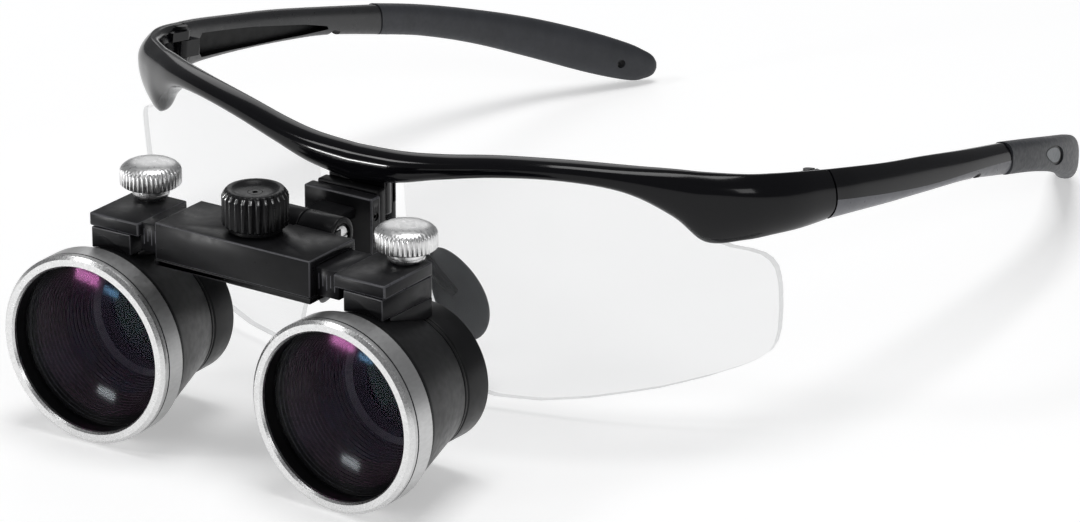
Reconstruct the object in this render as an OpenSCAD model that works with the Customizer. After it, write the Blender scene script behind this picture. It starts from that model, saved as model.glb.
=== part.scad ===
// Flip-up dental loupes on a wrap-around sports frame.
// X points to the wearer's left, Y from the optics back to the temple tips, Z up.
// The glasses stand on their two barrels and on the tips of their temples.

/* [Optics] */
// Radius of the silver front ring
ring_r = 17; // [15:0.5:18]
// Length of the silver front ring
ring_len = 5.7; // [4:0.1:7]
// Radius of the clear opening in front of the objective
aperture_r = 14.9; // [13:0.1:14.9]
// Radius of the black barrel behind the ring
barrel_r = 16.3; // [16.3:0.1:16.6]
// Radius of the eyepiece cell at the barrel's rear end
cell_r = 12.6; // [12:0.1:13]
// Distance from the ring's front to where the barrel's taper ends
taper_len = 20.4; // [19.5:0.1:22]
// Length of the whole telescope
tube_len = 27.4; // [27:0.1:29]
// Toe-in of each telescope towards the working point, in degrees
toe = 2; // [0:0.5:3]

/* [Bridge] */
// Distance from the middle to each swivel axis
swivel_x = 26.9; // [26.5:0.1:28]
// Distance of the swivel axes behind the rings' fronts
swivel_y = 20.8; // [20.8:0.1:21.2]
// Half the length of the housing
housing_half = 16.3; // [16.3:0.1:16.5]
// Number of teeth on the pinion
pinion_teeth = 12; // [12:2:14]
// Tooth module of the pinion and racks
tooth_module = 0.5; // [0.4:0.05:0.5]
// Number of flutes round the black knob
knob_flutes = 26; // [20:2:30]
// Number of flutes round each silver thumbscrew
thumb_flutes = 32; // [24:2:40]

/* [Frame] */
// Front-to-back thickness of the lens
lens_t = 2; // [1.6:0.1:2.2]
// Radius of the lens's wrap
lens_wrap_r = 104; // [103:1:106]
// Lean of the lens and its foot towards the face, in degrees
lens_lean = 7.4; // [7:0.1:8]
// Lean of the temple hinge axes, in degrees
hinge_lean = 9; // [8:1:10]
// Radius of the cord hole in each temple tip
cord_hole_r = 0.9; // [0.6:0.1:1]

/* [Hidden] */
$fn = 48;

BLACK = [0.05, 0.05, 0.06];
SATIN = [0.12, 0.12, 0.13];
RUBBER = [0.2, 0.21, 0.23];
SILVER = [0.8, 0.8, 0.81];
GLASS = [0.75, 0.85, 0.95, 0.4];

// The origin is below the middle of the whole object, this far behind the rings' fronts
origin_y = 106.6;
slack = 0.1;            // gap left round parts that slide or are glued in
run = 0.05;             // radial clearance of a running fit

// Bridge levels, from the bottom up
cover_z = 32.4;
channel_z = 33.4;
rack_z = 33.5;
block_top_z = 36.1;
tab_z = 36.2;
tab_top_z = 38.6;
channel_top_z = 38.7;
housing_top_z = 40.1;
block_z = 32.3;

// Bridge depths, from the front back
housing_y = 8;
housing_back_y = 21;
pinion_y = 14.9;
channel_half = 5.1;
carriage_y = 8.8;
carriage_back_y = 22.6;
carriage_half = 4.1;

// Tilt hinge between the housing and the mount block
tilt_y = 24.4;
tilt_z = 38.1;
knuckle_r = 3.5;
pin_r = 1.2;
middle_knuckle = 3.8;
hinge_half = 11;

// Mount block and rail
block_front_y = 38.3;
block_back_y = 40.95;
block_half = 7.25;
block_low_z = 27;
block_high_z = 39.7;
rail_y = 41.05;
rail_t = 2.7;
rail_half = 6.4;
rail_low_z = 24.5;
rail_high_z = 40.1;
RAIL_SCREW_Z = [35.8, 38.6];

// Racks and pinion
pitch_r = tooth_module * pinion_teeth / 2;
tooth_pitch = PI * tooth_module;
rack_tip = 0.35;        // how far a rack tooth stands inside its pitch line
rack_root = 0.6;        // how far a rack gap lies outside its pitch line
backlash = 0.12;
shaft_r = 2;
head_x = 15.5;          // where a rack bar's thick head starts
head_end_x = 20.9;
tongue_reach = 7.2;     // how far a rack reaches past the pinion

// Screws
thread_r = 1.5;
thumb_r = 5.4;
thumb_z = 40.9;
thumb_top_z = 45.2;
neck_r = 3.05;

// Temple hinge
hinge_x = 68.3;
hinge_y = 82;
hinge_z = 40.4;
hinge_r = 2.3;
hinge_pin_r = 0.8;
lug_half = 1.6;         // half the height of the temple's knuckle
lug_out = 3.4;          // half the height over the frame's lugs
hinge_room = 0.35;      // space kept round the knuckles as the temple folds

// Front frame: x and y of the middle line, top z, bottom z and thickness
BROW = [[0, 43.8, 46.8, 40.2, 5.4], [9, 44, 47.1, 41.5, 5.5], [17, 45.1, 47.8, 43.5, 5.3],
    [27, 47.6, 48.9, 45.2, 5.2], [38, 51.5, 49.2, 45.7, 5.2], [47.2, 56.3, 48.7, 44, 5.4],
    [54.1, 60.9, 48.1, 40.4, 5.6], [59, 64.5, 47.5, 36.5, 5.6], [63.9, 68.6, 46.9, 36, 5.2],
    [67, 73.2, 46.4, 35.9, 4.8], [68.9, 78.2, 45.6, 35.4, 4.5], [70.2, 84.9, 44.2, 35, 4.3]];

// Temple arm and its rubber tip, in the same order
ARM = [[70.3, 85.1, 44.2, 35, 4.3], [71.2, 92, 42.8, 34.3, 4.2], [71.9, 103, 40.4, 32.8, 4],
    [72, 116, 37.7, 30.9, 4], [71.5, 131, 34.2, 28.3, 4], [70.3, 147, 30.5, 24.2, 4]];
TIP = [[70.3, 147.1, 30.5, 24.2, 4.2], [68.9, 160, 27, 20.6, 4.4], [66, 174, 22.7, 15.6, 4.6],
    [61.4, 188, 17.9, 9.5, 4.8], [55.3, 200, 12.9, 4, 4.8], [50.6, 208, 8.9, 1, 4.4],
    [48.6, 211, 6.9, 0.9, 3.6], [47, 213.3, 5, 2.1, 2]];

// Clear shield: half of its outline as seen from the front
LENS = [[0, 31], [6, 30], [11, 23.5], [14.5, 15], [17, 8], [19.5, 4], [23.5, 2.4], [31.5, 2.7],
    [39.6, 4.1], [51, 6.9], [58.4, 9.4], [65.6, 12.6], [67.6, 15], [68.3, 19], [68.7, 26],
    [68.4, 30], [67.4, 32.2], [65, 33.6], [60, 35.3], [58, 38.2], [53, 43.2], [47, 45.6],
    [38, 46.8], [27, 46.6], [17, 45.2], [9.5, 43.6], [9.5, 34], [0, 34]];

// Ends of the stem inside the left nose pad
PAD_ARM = [[9.4, 51.6, 24.6], [16, 53.6, 17.6]];
pad_arm_r = 1.1;

// A point between rows a and b of a list, on a smooth curve through its neighbours
function smooth_row(rows, i, t) =
    let (p0 = rows[max(i - 1, 0)], p1 = rows[i], p2 = rows[i + 1],
        p3 = rows[min(i + 2, len(rows) - 1)])
    p1 + t * (p2 - p0) / 2 + t * t * (p0 - 2.5 * p1 + 2 * p2 - p3 / 2)
    + t * t * t * (1.5 * p1 - p0 / 2 - 1.5 * p2 + p3 / 2);

function smooth(rows, steps) = concat(
    [for (i = [0:len(rows) - 2], k = [0:steps - 1]) smooth_row(rows, i, k / steps)],
    [rows[len(rows) - 1]]);

// The same rows carried over to the other side of the middle, and back out again
function both_sides(rows) = concat(
    [for (i = [len(rows) - 1:-1:1]) [-rows[i][0], rows[i][1], rows[i][2], rows[i][3], rows[i][4]]],
    rows);

function heading(rows, i) =
    let (a = rows[max(i - 1, 0)], b = rows[min(i + 1, len(rows) - 1)])
    atan2(b[1] - a[1], b[0] - a[0]);

function rounded(c, power) = sign(c) * pow(abs(c), 2 / power);

// The rows' points moved sideways by a share of the bar's thickness
function edge(rows, share) = [for (i = [0:len(rows) - 1])
    let (h = heading(rows, i), across = rows[i][4] * share)
    [rows[i][0] + across * sin(h), rows[i][1] - across * cos(h)]];

function backwards(list) = [for (i = [len(list) - 1:-1:0]) list[i]];

// What is seen of a bar from above
module plan_of(rows) linear_extrude(60) polygon(concat(edge(rows, 0.5), backwards(edge(rows, -0.5))));

// What is seen of a bar from the front (axis 0) or from the side (axis 1)
module elevation_of(rows, axis) polygon(concat([for (r = rows) [r[axis], r[2]]],
    backwards([for (r = rows) [r[axis], r[3]]])));

// A bar of rounded section swept along rows of x, y, top, bottom and thickness
module swept_bar(rows, power = 3, sides = 14) {
    count = len(rows);
    points = [for (i = [0:count - 1], k = [0:sides - 1])
        let (row = rows[i], h = heading(rows, i), a = 360 * (k + 0.5) / sides,
            across = row[4] / 2 * rounded(cos(a), power),
            up = (row[2] - row[3]) / 2 * rounded(sin(a), power))
        [row[0] + across * sin(h), row[1] - across * cos(h), (row[2] + row[3]) / 2 + up]];
    skin = [for (i = [0:count - 2], k = [0:sides - 1])
        let (n = (k + 1) % sides)
        [i * sides + k, (i + 1) * sides + k, (i + 1) * sides + n, i * sides + n]];
    first = [for (k = [0:sides - 1]) k];
    last = [for (k = [sides - 1:-1:0]) (count - 1) * sides + k];
    polyhedron(points, concat(skin, [first, last]));
}

// Moves a shape from the rings' front plane to the part's own origin
module at_origin() translate([0, -origin_y, 0]) children();

module on_side(side) mirror([side < 0 ? 1 : 0, 0, 0]) children();

// A left telescope's own frame: its axis along Y at ring height, turned by the toe-in
module telescope_frame(side) {
    at_origin() on_side(side) translate([swivel_x, swivel_y, 0]) rotate([0, 0, -toe])
        translate([0, -swivel_y, 0]) children();
}

// Turns a profile of radius and length about a telescope's axis
module turned(profile) translate([0, 0, ring_r]) rotate([-90, 0, 0])
    rotate_extrude($fn = 96) polygon(profile);

module box(x0, x1, y0, y1, z0, z1) translate([x0, y0, z0]) cube([x1 - x0, y1 - y0, z1 - z0]);

// A cylinder along X, Y or Z between two distances
module x_rod(r, x0, x1, y, z) translate([x0, y, z]) rotate([0, 90, 0]) cylinder(r = r, h = x1 - x0);
module y_rod(r, y0, y1, x, z) translate([x, y0, z]) rotate([-90, 0, 0]) cylinder(r = r, h = y1 - y0);
module z_rod(r, z0, z1, x, y) translate([x, y, z0]) cylinder(r = r, h = z1 - z0);

// ---- Front frame ----

// The lens's shell, thick enough for the lens or for the groove that holds it
module lens_shell(t) {
    translate([0, 44.5, 44]) rotate([lens_lean, 0, 0]) translate([0, lens_wrap_r, -60])
        difference() {
            cylinder(r = lens_wrap_r + t / 2, h = 120, $fn = 96);
            translate([0, 0, -1]) cylinder(r = lens_wrap_r - t / 2, h = 122, $fn = 96);
        }
}

module lens_outline(grow) {
    left = [for (p = LENS) [p[0] + (p[0] > 0 ? grow : 0), p[1]]];
    right = [for (i = [len(LENS) - 2:-1:1]) [-left[i][0], left[i][1]]];
    translate([0, 80, 0]) rotate([90, 0, 0]) linear_extrude(45)
        polygon(concat(left, right));
}

module lens_solid(t, grow) intersection() { lens_shell(t); lens_outline(grow); }

// Turns Z towards the temple hinge's leaning axis, about the hinge's middle
module on_hinge() translate([hinge_x, hinge_y, hinge_z]) rotate([-hinge_lean, 0, 0]) children();

module frame_lugs() {
    on_hinge() difference() {
        union() {
            cylinder(r = hinge_r, h = 2 * lug_out, center = true);
            translate([-hinge_r, -4.5, -lug_out]) cube([2 * hinge_r, 4.5, 2 * lug_out]);
        }
        cylinder(r = hinge_r + 1.1, h = 2 * (lug_half + slack), center = true);
    }
}

// The bar over both eyes with its end pieces, running back to the temples' seams
module brow_bar() {
    rows = both_sides(smooth(BROW, 2));
    last = rows[len(rows) - 1];
    ends = concat([[-80, 0, last[2], last[3], 0]], rows, [[80, 0, last[2], last[3], 0]]);
    intersection() {
        plan_of(rows);
        translate([0, 100, 0]) rotate([90, 0, 0]) linear_extrude(70) elevation_of(ends, 0);
    }
}

module front_frame() {
    color(BLACK) at_origin() difference() {
        union() {
            difference() {
                brow_bar();
                for (side = [-1, 1]) on_side(side) hinge_pocket();
            }
            for (side = [-1, 1]) on_side(side) frame_lugs();
            box(-6, 6, rail_y + rail_t, 46.2, 34.4, 42);
        }
        lens_solid(lens_t + 2 * slack, slack);
        for (side = [-1, 1]) on_side(side) on_hinge()
            cylinder(r = hinge_pin_r, h = 3 * lug_out, center = true);
        for (z = RAIL_SCREW_Z) y_rod(0.6, rail_y, 45.6, 0, z);
        for (x = [-3.4, 3.4]) y_rod(0.6, 44, 47, x, 38);
    }
}

// Room behind the frame's end piece in which the temple's knuckle turns
module hinge_pocket() {
    on_hinge() translate([-10, -hinge_r - 0.6, -14])
        cube([10 + hinge_r + hinge_room, 20, 28]);
}

module shield_lens() color(GLASS) at_origin() lens_solid(lens_t, 0);

// A round limb between two points
module limb(from, to, from_r, to_r) hull() {
    translate(from) sphere(r = from_r, $fn = 24);
    translate(to) sphere(r = to_r, $fn = 24);
}

module nose_bridge() {
    color(SATIN) at_origin() {
        box(-4.6, 4.6, 47.6, 49.8, 30, 40);
        box(-4.6, 4.6, 46.25, 49.8, 34.9, 40);
        for (side = [-1, 1]) on_side(side) {
            limb([3.6, 49.1, 31], PAD_ARM[0], 1.3, pad_arm_r);
            limb(PAD_ARM[0], PAD_ARM[1], pad_arm_r, pad_arm_r);
        }
        for (x = [-3.4, 3.4]) y_rod(0.55, 44.3, 47, x, 38);
    }
}

module nose_pad() {
    difference() {
        hull() {
            translate([10.3, 54.6, 24]) sphere(r = 2.2, $fn = 32);
            translate([17.9, 57, 12]) sphere(r = 2.6, $fn = 32);
            translate([18.2, 54.4, 9.4]) sphere(r = 2.2, $fn = 32);
            translate([13.4, 58, 20]) sphere(r = 2, $fn = 32);
        }
        limb(PAD_ARM[0], PAD_ARM[1], pad_arm_r + 0.2, pad_arm_r + 0.2);
    }
}

module nose_pad_left() color(RUBBER) at_origin() nose_pad();
module nose_pad_right() color(RUBBER) at_origin() on_side(-1) nose_pad();

// Dovetail groove profile, or with no grow the tongue that slides in it
module dovetail(grow, z0, z1) {
    translate([0, 0, z0]) linear_extrude(z1 - z0) polygon([[-2.6 - grow, block_back_y - 0.3],
        [2.6 + grow, block_back_y - 0.3], [3.6 + grow, block_back_y + 1.6 + grow],
        [-3.6 - grow, block_back_y + 1.6 + grow]]);
}

module mount_rail() {
    color(SATIN) at_origin() difference() {
        box(-rail_half, rail_half, rail_y, rail_y + rail_t, rail_low_z, rail_high_z);
        dovetail(0.08, rail_low_z - 1, rail_high_z - 0.8);
        for (z = RAIL_SCREW_Z) {
            y_rod(0.8, rail_y, 43.32, 0, z);
            y_rod(0.6, rail_y, 45, 0, z);
        }
    }
}

module rail_screws() {
    color(SILVER) at_origin() for (z = RAIL_SCREW_Z) {
        y_rod(0.55, 42.75, 45.4, 0, z);
        y_rod(0.78, 42.7, 43.3, 0, z);
    }
}

// ---- Temples ----

module temple_screw(side) color(SILVER) at_origin() on_side(side) on_hinge() {
    difference() {
        union() {
            translate([0, 0, -lug_out]) cylinder(r = hinge_pin_r - 0.04, h = 2 * lug_out + 0.5);
            translate([0, 0, lug_out + 0.02]) cylinder(r = 1.5, h = 0.7);
        }
        translate([-0.2, -2, lug_out + 0.45]) cube([0.4, 4, 1]);
    }
}
module temple_screw_left() temple_screw(1);
module temple_screw_right() temple_screw(-1);

// The straight tongue on the arm's end that the rubber tip is pushed over
module tip_tongue(grow) {
    translate([70.2, 146, 27.6]) rotate([-14.5, 0, 4])
        translate([-1 - grow, 0, -1.4 - grow]) cube([2 + 2 * grow, 12 + grow, 2.8 + 2 * grow]);
}

module arm_bar() {
    rows = smooth(ARM, 3);
    intersection() {
        plan_of(rows);
        translate([60, 0, 0]) rotate([90, 0, 90]) linear_extrude(20) elevation_of(rows, 1);
    }
}

module temple_arm(side) color(BLACK) at_origin() on_side(side) difference() {
    union() {
        difference() {
            arm_bar();
            channel();
        }
        on_hinge() {
            cylinder(r = hinge_r, h = 2 * lug_half, center = true);
            translate([-hinge_r, 0, -lug_half]) cube([2 * hinge_r, 6, 2 * lug_half]);
        }
        tip_tongue(0);
    }
    on_hinge() {
        cylinder(r = hinge_pin_r + run - 0.04, h = 20, center = true);
        for (k = [-1, 1]) translate([0, 0, k * (lug_half + 10)])
            cylinder(r = hinge_r + hinge_room, h = 20, center = true);
    }
    translate([hinge_x, 133.3, 27]) rotate([0, 90, 0]) cylinder(r = 1.6, h = 10, center = true, $fn = 24);
}

// Long hollow along the inside of the arm
module channel() {
    translate([hinge_x - 0.4, 91, 38.2]) rotate([-12.2, 0, -0.6])
        translate([0, 0, -2.1]) cube([1.6, 36, 4.2]);
}

module temple_arm_left() temple_arm(1);
module temple_arm_right() temple_arm(-1);

// Cord hole's place and direction near the end of a temple tip
module at_cord_hole() translate([51.8, 206, 5.4]) rotate([0, 0, 124]) rotate([90, 0, 0]) children();

module temple_tip(side) color(RUBBER) at_origin() on_side(side) difference() {
    swept_bar(smooth(TIP, 4), 2.6);
    tip_tongue(slack);
    at_cord_hole() cylinder(r = cord_hole_r, h = 20, center = true);
}
module temple_tip_left() temple_tip(1);
module temple_tip_right() temple_tip(-1);

// ---- Height slide and tilt hinge ----

module mount_block() {
    color(SATIN) at_origin() difference() {
        union() {
            box(-block_half, block_half, block_front_y, block_back_y, block_low_z, block_high_z);
            dovetail(0, block_low_z, block_high_z - 2.2);
            box(-middle_knuckle + slack, middle_knuckle - slack, tilt_y, block_front_y + 1,
                tilt_z - 2.6, tilt_z + 0.6);
            x_rod(knuckle_r, -middle_knuckle + slack, middle_knuckle - slack, tilt_y, tilt_z);
        }
        x_rod(pin_r, -10, 10, tilt_y, tilt_z);
        x_rod(0.75, 3.2, 10, 39.6, 36.2);
    }
}

module clamp_screw() color(SATIN) at_origin() difference() {
    x_rod(0.72, 3.3, block_half - 0.3, 39.6, 36.2);
    translate([block_half - 1.3, 39.6, 36.2]) rotate([0, 90, 0]) cylinder(r = 0.4, h = 2, $fn = 6);
}

module hinge_pin() color(SILVER) at_origin() difference() {
    x_rod(pin_r - 0.02, -hinge_half + 0.6, hinge_half - 0.6, tilt_y, tilt_z);
    translate([hinge_half - 1.2, tilt_y - 0.2, tilt_z - 2]) cube([2, 0.4, 4]);
}

module bridge_housing() {
    color(BLACK) at_origin() difference() {
        union() {
            box(-housing_half, housing_half, housing_y, housing_back_y, channel_z, housing_top_z);
            for (side = [-1, 1]) on_side(side) {
                x_rod(knuckle_r, middle_knuckle, hinge_half, tilt_y, tilt_z);
                box(middle_knuckle, hinge_half, housing_back_y - 1, tilt_y,
                    tilt_z - knuckle_r, tilt_z + 1.6);
            }
        }
        // Channel for the two rack bars, open at both ends and below
        box(-20, 20, pinion_y - channel_half, pinion_y + channel_half, channel_z - 1, channel_top_z);
        z_rod(shaft_r + run, 30, 50, 0, pinion_y);
        x_rod(pin_r + run, -20, 20, tilt_y, tilt_z);
        for (side = [-1, 1]) on_side(side) x_rod(2.4, hinge_half - 0.6, 20, tilt_y, tilt_z);
        // Room for the middle knuckle
        box(-middle_knuckle, middle_knuckle, tilt_y - knuckle_r - 0.4, 30, 30, 50);
        for (x = [-14.8, 14.8]) z_rod(0.5, 30, 36, x, 8.95);
        for (x = [-14.8, 14.8]) z_rod(0.4, 30, 36, x, 20.5);
    }
}

module housing_cover() {
    color(BLACK) at_origin() difference() {
        box(-housing_half, housing_half, housing_y, housing_back_y, cover_z, channel_z);
        for (x = [-14.8, 14.8]) z_rod(0.55, 30, 36, x, 8.95);
        for (x = [-14.8, 14.8]) z_rod(0.45, 30, 36, x, 20.5);
        for (x = [-14.8, 14.8]) z_rod(0.86, cover_z - 1, cover_z + 0.45, x, 8.95);
        box(-middle_knuckle, middle_knuckle, tilt_y - knuckle_r - 0.4, 30, 30, 50);
    }
}

module cover_screws() color(SILVER) at_origin() for (x = [-14.8, 14.8]) {
    z_rod(0.46, cover_z + 0.2, 35.5, x, 8.95);
    z_rod(0.8, cover_z, cover_z + 0.4, x, 8.95);
    z_rod(0.36, cover_z, 35.5, x, 20.5);
}

// ---- Pupil distance drive ----

function involute(a) = tan(a) * 180 / PI - a;

// Half the angle that a pinion tooth covers at radius r
function tooth_half(r) =
    let (base = pitch_r * cos(20))
    90 / pinion_teeth - backlash / 4 / pitch_r * 180 / PI
    + involute(20) - (r > base ? involute(acos(base / r)) : 0);

module pinion_outline() {
    root = pitch_r - 0.65;
    radii = [root, pitch_r * cos(20), pitch_r, pitch_r + 0.2, pitch_r + 0.42];
    polygon([for (k = [0:pinion_teeth - 1], flank = [-1, 1], i = [0:len(radii) - 1])
        let (r = radii[flank < 0 ? i : len(radii) - 1 - i],
            a = 90 + 360 * k / pinion_teeth + flank * tooth_half(r))
        [r * cos(a), r * sin(a)]]);
}

module pd_pinion() color(SILVER) at_origin() translate([0, pinion_y, 0]) {
    translate([0, 0, rack_z + 0.05]) linear_extrude(tab_top_z - rack_z - 0.1) pinion_outline();
    difference() {
        z_rod(shaft_r, tab_top_z - 0.5, 45.6, 0, 0);
        z_rod(0.8, 43.5, 46, 0, 0);
    }
}

module pd_knob() {
    profile = [[0, 40.3], [4.6, 40.3], [4.6, 41.2], [5.75, 41.4], [5.65, 46.6], [5.1, 47.5],
        [4.5, 47.7], [3.6, 47.2], [0, 47]];
    color(BLACK) at_origin() translate([0, pinion_y, 0]) difference() {
        rotate_extrude() polygon(profile);
        z_rod(shaft_r + 0.02, 40, 45.7, 0, 0);
        z_rod(0.85, 45, 48, 0, 0);
        z_rod(1.25, 46, 48, 0, 0);
        for (k = [0:knob_flutes - 1]) rotate([0, 0, 360 * k / knob_flutes])
            translate([5.85, 0, 41.9]) cylinder(r = 0.4, h = 7, $fn = 16);
    }
}

module knob_screw() color(SATIN) at_origin() difference() {
    union() {
        z_rod(1.2, 46.02, 46.9, 0, pinion_y);
        z_rod(0.75, 43.8, 46.1, 0, pinion_y);
    }
    z_rod(0.5, 46.3, 48, 0, pinion_y);
}

// One tooth of a rack, standing towards negative Y from its pitch line
module rack_tooth() {
    half = tooth_pitch / 4 - backlash / 4;
    slope = tan(20);
    polygon([[-half - rack_root * slope, rack_root + 0.1], [-half + rack_tip * slope, -rack_tip],
        [half - rack_tip * slope, -rack_tip], [half + rack_root * slope, rack_root + 0.1]]);
}

// A bar with its rack behind the pinion, its tab between two depths and its scale on one face
module rack_bar(tab_front, tab_back, hole_y, scale_y) {
    reach = floor((tongue_reach - 0.4) / tooth_pitch);
    last = floor((head_x + 1) / tooth_pitch);
    difference() {
        union() {
            translate([0, pinion_y, rack_z]) linear_extrude(tab_top_z - rack_z) union() {
                translate([-tongue_reach, pitch_r + rack_root])
                    square([tongue_reach + head_x + 1, channel_half - slack - pitch_r - rack_root]);
                for (k = [-reach:last - 2]) translate([(k + 0.5) * tooth_pitch, pitch_r]) rack_tooth();
            }
            box(head_x, head_end_x, pinion_y - channel_half + slack, pinion_y + channel_half - slack,
                rack_z, tab_top_z);
            box(head_end_x - 0.5, swivel_x + carriage_half, tab_front, tab_back, tab_z, tab_top_z);
        }
        z_rod(thread_r + run, 30, 50, swivel_x, hole_y);
        for (k = [0:4]) box(16.2 + k, 16.32 + k, scale_y - 0.12, scale_y + 0.12, 36 - (k % 2) * 0.6, 37.8);
    }
}
module rack_bar_left() color(SATIN) at_origin()
    rack_bar(carriage_y, carriage_back_y, swivel_y, pinion_y - channel_half + slack);

// The right bar is turned half round the pinion, so its rack runs in front; its tab stays put
module rack_bar_right() color(SATIN) at_origin() translate([0, 2 * pinion_y, 0])
    rotate([0, 0, 180]) rack_bar(2 * pinion_y - carriage_back_y, 2 * pinion_y - carriage_y,
        2 * pinion_y - swivel_y, pinion_y + channel_half - slack);

// ---- Thumbscrews ----

module thumbscrew(side) {
    profile = [[0, thumb_z - 2.2], [neck_r - 0.3, thumb_z - 2.2], [neck_r, thumb_z - 1.9],
        [neck_r, thumb_z], [thumb_r - 0.5, thumb_z], [thumb_r, thumb_z + 0.4],
        [thumb_r, thumb_z + 2.6], [thumb_r - 0.35, thumb_z + 3.5], [thumb_r - 1.3, thumb_top_z - 0.1],
        [thumb_r - 2.2, thumb_top_z], [0, thumb_top_z]];
    color(SILVER) at_origin() on_side(side) translate([swivel_x, swivel_y, 0]) {
        difference() {
            rotate_extrude() polygon(profile);
            for (k = [0:thumb_flutes - 1]) rotate([0, 0, 360 * k / thumb_flutes])
                translate([thumb_r + 0.15, 0, thumb_z - 1]) cylinder(r = 0.35, h = 3.4, $fn = 16);
        }
        z_rod(thread_r, 30.8, thumb_z - 2, 0, 0);
    }
}
module thumbscrew_left() thumbscrew(1);
module thumbscrew_right() thumbscrew(-1);

// ---- Carriages ----

// The barrel's outside, a hair larger, to cut its seat
module barrel_seat() turned([[0, 0], [barrel_r + 0.02, 0], [barrel_r + 0.02, ring_len + 1],
    [cell_r + 0.02, taper_len], [cell_r + 0.02, 40], [0, 40]]);

module swivel_block(side) color(SATIN) telescope_frame(side) difference() {
    box(-carriage_half, carriage_half, carriage_y, carriage_back_y, block_z, block_top_z);
    barrel_seat();
    z_rod(thread_r + run, 30, 40, 0, swivel_y);
}
module swivel_block_left() swivel_block(1);
module swivel_block_right() swivel_block(-1);

module barrel_saddle(side) color(SATIN) telescope_frame(side) difference() {
    box(-carriage_half, carriage_half, 11, carriage_back_y, 26.4, block_z);
    barrel_seat();
    z_rod(thread_r + run, 20, 40, 0, swivel_y);
}
module barrel_saddle_left() barrel_saddle(1);
module barrel_saddle_right() barrel_saddle(-1);

// ---- Telescopes ----

module barrel(side) color(BLACK) telescope_frame(side) turned([
    [15.05, 1.1], [16, 1.1], [16, ring_len + 0.1], [barrel_r, ring_len + 0.1],
    [barrel_r, ring_len + 1], [cell_r, taper_len], [11, taper_len], [11, 18.4],
    [14.2, 6.4], [14.2, 5.4], [15.05, 5.4]]);
module barrel_left() barrel(1);
module barrel_right() barrel(-1);

module front_ring(side) color(SILVER) telescope_frame(side) turned([
    [aperture_r, 0], [ring_r - 0.35, 0], [ring_r, 0.35], [ring_r, ring_len - 0.2],
    [ring_r - 0.2, ring_len], [16.05, ring_len], [16.05, 1], [aperture_r, 1]]);
module front_ring_left() front_ring(1);
module front_ring_right() front_ring(-1);

// Points of a shallow lens face from its middle out to its rim
function lens_face(rim, middle, curve_r) = [for (k = [0:5])
    let (r = rim * k / 5)
    [r, middle + sign(curve_r) * (abs(curve_r) - sqrt(curve_r * curve_r - r * r))]];

module objective(side) color(GLASS) telescope_frame(side)
    turned(concat(lens_face(15, 1.15, 60), [[15, 5.35], [0, 5.35]]));
module objective_left() objective(1);
module objective_right() objective(-1);

module light_baffle(side) color(SATIN) telescope_frame(side) {
    steps = 8;
    pitch = 1.5;
    inner = [for (i = [0:steps - 1], k = [0, 1])
        [(k == 0 ? 12.6 : 12) - i * 0.32, 6.5 + (i + k) * pitch - (k == 1 ? 0.3 : 0)]];
    turned(concat([[13.9, 6.5]], inner, [[9.6, 18.3], [10.9, 18.3]]));
}
module light_baffle_left() light_baffle(1);
module light_baffle_right() light_baffle(-1);

module eyepiece_cell(side) color(BLACK) telescope_frame(side) turned([
    [10, 18.6], [10.95, 18.6], [10.95, taper_len + 0.05], [cell_r, taper_len + 0.05],
    [cell_r, tube_len - 0.6], [cell_r - 0.6, tube_len], [9, tube_len], [9, 26.4],
    [10.2, 26.4], [10.2, 22.3], [10, 22.3]]);
module eyepiece_cell_left() eyepiece_cell(1);
module eyepiece_cell_right() eyepiece_cell(-1);

module eyepiece_lens(side) color(GLASS) telescope_frame(side)
    turned(concat([[0, 23], [10.15, 23]], backwards(lens_face(10.15, 24.9, 40))));
module eyepiece_lens_left() eyepiece_lens(1);
module eyepiece_lens_right() eyepiece_lens(-1);

front_frame();
shield_lens();
nose_bridge();
nose_pad_left();
nose_pad_right();
mount_rail();
rail_screws();
temple_screw_left();
temple_screw_right();
temple_arm_left();
temple_arm_right();
temple_tip_left();
temple_tip_right();
mount_block();
clamp_screw();
hinge_pin();
bridge_housing();
housing_cover();
cover_screws();
pd_knob();
knob_screw();
pd_pinion();
rack_bar_left();
rack_bar_right();
thumbscrew_left();
thumbscrew_right();
swivel_block_left();
swivel_block_right();
barrel_saddle_left();
barrel_saddle_right();
barrel_left();
barrel_right();
front_ring_left();
front_ring_right();
objective_left();
objective_right();
light_baffle_left();
light_baffle_right();
eyepiece_cell_left();
eyepiece_cell_right();
eyepiece_lens_left();
eyepiece_lens_right();
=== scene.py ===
import math

import bmesh
import bpy
from mathutils import Matrix, Vector


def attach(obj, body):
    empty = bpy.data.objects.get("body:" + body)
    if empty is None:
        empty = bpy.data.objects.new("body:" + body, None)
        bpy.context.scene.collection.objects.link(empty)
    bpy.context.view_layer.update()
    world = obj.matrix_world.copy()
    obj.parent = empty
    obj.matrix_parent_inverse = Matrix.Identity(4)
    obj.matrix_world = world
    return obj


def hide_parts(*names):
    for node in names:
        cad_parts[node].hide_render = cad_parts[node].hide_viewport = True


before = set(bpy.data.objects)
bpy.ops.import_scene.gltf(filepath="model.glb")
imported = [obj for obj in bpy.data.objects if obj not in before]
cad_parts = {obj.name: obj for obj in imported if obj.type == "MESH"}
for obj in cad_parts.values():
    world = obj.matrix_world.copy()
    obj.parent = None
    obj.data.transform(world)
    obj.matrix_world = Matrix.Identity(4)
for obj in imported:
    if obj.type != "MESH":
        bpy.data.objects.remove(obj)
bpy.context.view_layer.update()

# ---------------------------------------------------------------- sizes, in millimetres
MM = 0.001
FRONT_Y = 106.6              # the rings' fronts lie this far ahead of the origin
TOE = math.radians(2)        # toe-in of each telescope
SWIVEL_X = 26.9
SWIVEL_Y = 20.8
AXIS_Z = 17                  # height of the telescopes' axes
PINION_Y = 14.9
TILT_Y = 24.4
TILT_Z = 38.1
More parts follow.
